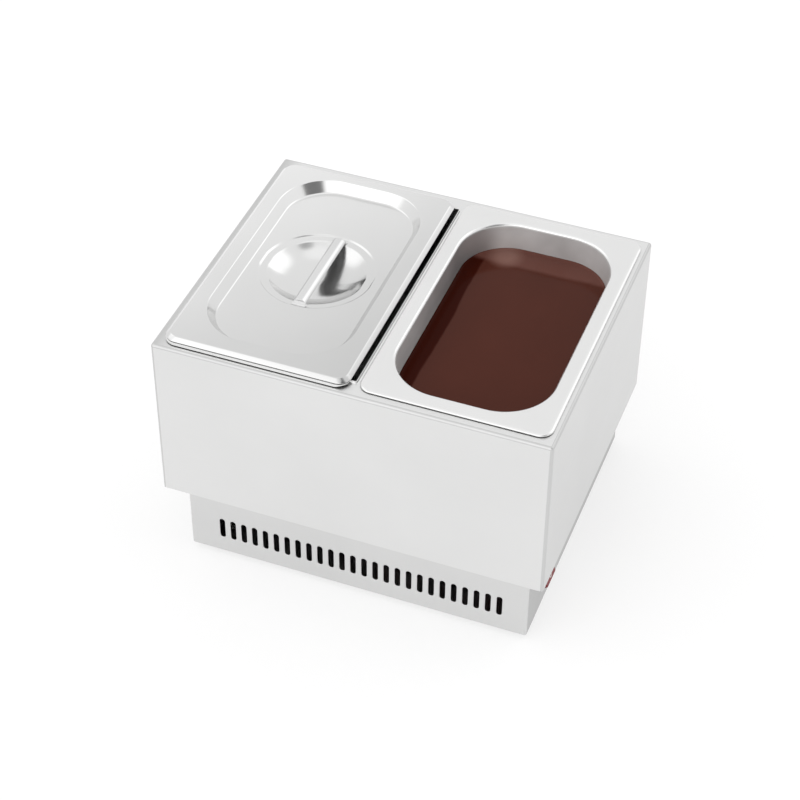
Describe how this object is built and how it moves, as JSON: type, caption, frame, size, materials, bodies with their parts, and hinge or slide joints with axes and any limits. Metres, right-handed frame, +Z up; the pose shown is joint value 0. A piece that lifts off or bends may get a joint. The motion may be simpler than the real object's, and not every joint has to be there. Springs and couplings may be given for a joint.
{
  "type": "chocolate melting tank",
  "caption": "Countertop chocolate melter: satin steel housing on a vented plinth, heated well with lift-out food pans, lid with a strap handle over a dish, controls on the side.",
  "frame": {"origin": "on the surface it stands on, under the middle of the housing (middle of the bounding box's bottom)", "axes": "+X to the right along the front, +Y from the vented front to the back, +Z up"},
  "size_m": [0.345, 0.28, 0.2368],
  "materials": {
    "stainless_satin": "satin, fine grain",
    "stainless_pan": "satin",
    "stainless_polished": "polished",
    "stainless_inner": "mill finish",
    "insulation": "matte fibre",
    "zinc_plated": "zinc plated",
    "rubber_black": "matte",
    "silicone_orange": "matte",
    "plastic_black": "fine texture",
    "plastic_red": "gloss",
    "window_dark": "gloss, tinted",
    "plastic_orange": "matte",
    "button_red": "gloss",
    "button_grey": "gloss",
    "plastic_white": "matte",
    "brass": "bright",
    "wire_cover": "satin",
    "chocolate": "gloss, liquid"
  },
  "bodies": {
    "housing": {"upper_housing": "stainless_satin", "top_deck": "stainless_satin", "base_wrap": "stainless_satin", "temperature_probe": "stainless_polished", "heated_well": "stainless_inner", "partition_plate": "stainless_inner", "bottom_cover": "stainless_inner", "insulation_wrap": "insulation", "insulation_board": "insulation", "partition_rivets": "zinc_plated", "cover_screws": "zinc_plated", "base_bolts": "zinc_plated", "base_nuts": "zinc_plated", "foot_screws": "zinc_plated", "foot_nuts": "zinc_plated", "clamp_plate_left": "zinc_plated", "clamp_plate_right": "zinc_plated", "well_studs": "zinc_plated", "stud_nuts": "zinc_plated", "probe_clip": "zinc_plated", "inlet_screws": "zinc_plated", "feet": "rubber_black", "cable_grommet": "rubber_black", "heater_mat_left": "silicone_orange", "heater_mat_right": "silicone_orange", "switch_housing": "plastic_black", "controller_case": "plastic_black", "inlet_housing": "plastic_black", "thermal_cutout": "plastic_black", "controller_lens": "window_dark", "controller_clips": "plastic_orange", "terminal_block": "plastic_white", "terminal_screws": "brass", "earth_stud": "brass", "inlet_pins": "brass", "wiring": "wire_cover"},
    "rocker": {"switch_rocker": "plastic_red"},
    "power_button": {"button_power": "button_red"},
    "set_button": {"button_set": "button_grey"},
    "up_button": {"button_up": "button_grey"},
    "down_button": {"button_down": "button_grey"},
    "left_pan_unit": {"left_pan": "stainless_pan"},
    "lid_unit": {"left_lid": "stainless_pan", "lid_handle": "stainless_polished"},
    "right_pan_unit": {"right_pan": "stainless_pan", "melted_chocolate": "chocolate"}
  },
  "joints": [
    {"name": "rocker_hinge", "type": "hinge", "parent": "housing", "child": "rocker", "pos_m": [0.157, -0.09, 0.041], "axis": [0, 1, 0], "range_deg": [0, 24]},
    {"name": "power_press", "type": "slide", "parent": "housing", "child": "power_button", "axis": [-1, 0, 0], "range_m": [0, 0.0008], "stiffness_N_per_m": 400},
    {"name": "set_press", "type": "slide", "parent": "housing", "child": "set_button", "axis": [-1, 0, 0], "range_m": [0, 0.0008], "stiffness_N_per_m": 400},
    {"name": "up_press", "type": "slide", "parent": "housing", "child": "up_button", "axis": [-1, 0, 0], "range_m": [0, 0.0008], "stiffness_N_per_m": 400},
    {"name": "down_press", "type": "slide", "parent": "housing", "child": "down_button", "axis": [-1, 0, 0], "range_m": [0, 0.0008], "stiffness_N_per_m": 400},
    {"name": "left_pan_lift", "type": "slide", "parent": "housing", "child": "left_pan_unit", "axis": [0, 0, 1], "range_m": [0, 0.16]},
    {"name": "lid_lift", "type": "slide", "parent": "left_pan_unit", "child": "lid_unit", "axis": [0, 0, 1], "range_m": [0, 0.12]},
    {"name": "right_pan_lift", "type": "slide", "parent": "housing", "child": "right_pan_unit", "axis": [0, 0, 1], "range_m": [0, 0.16]}
  ]
}
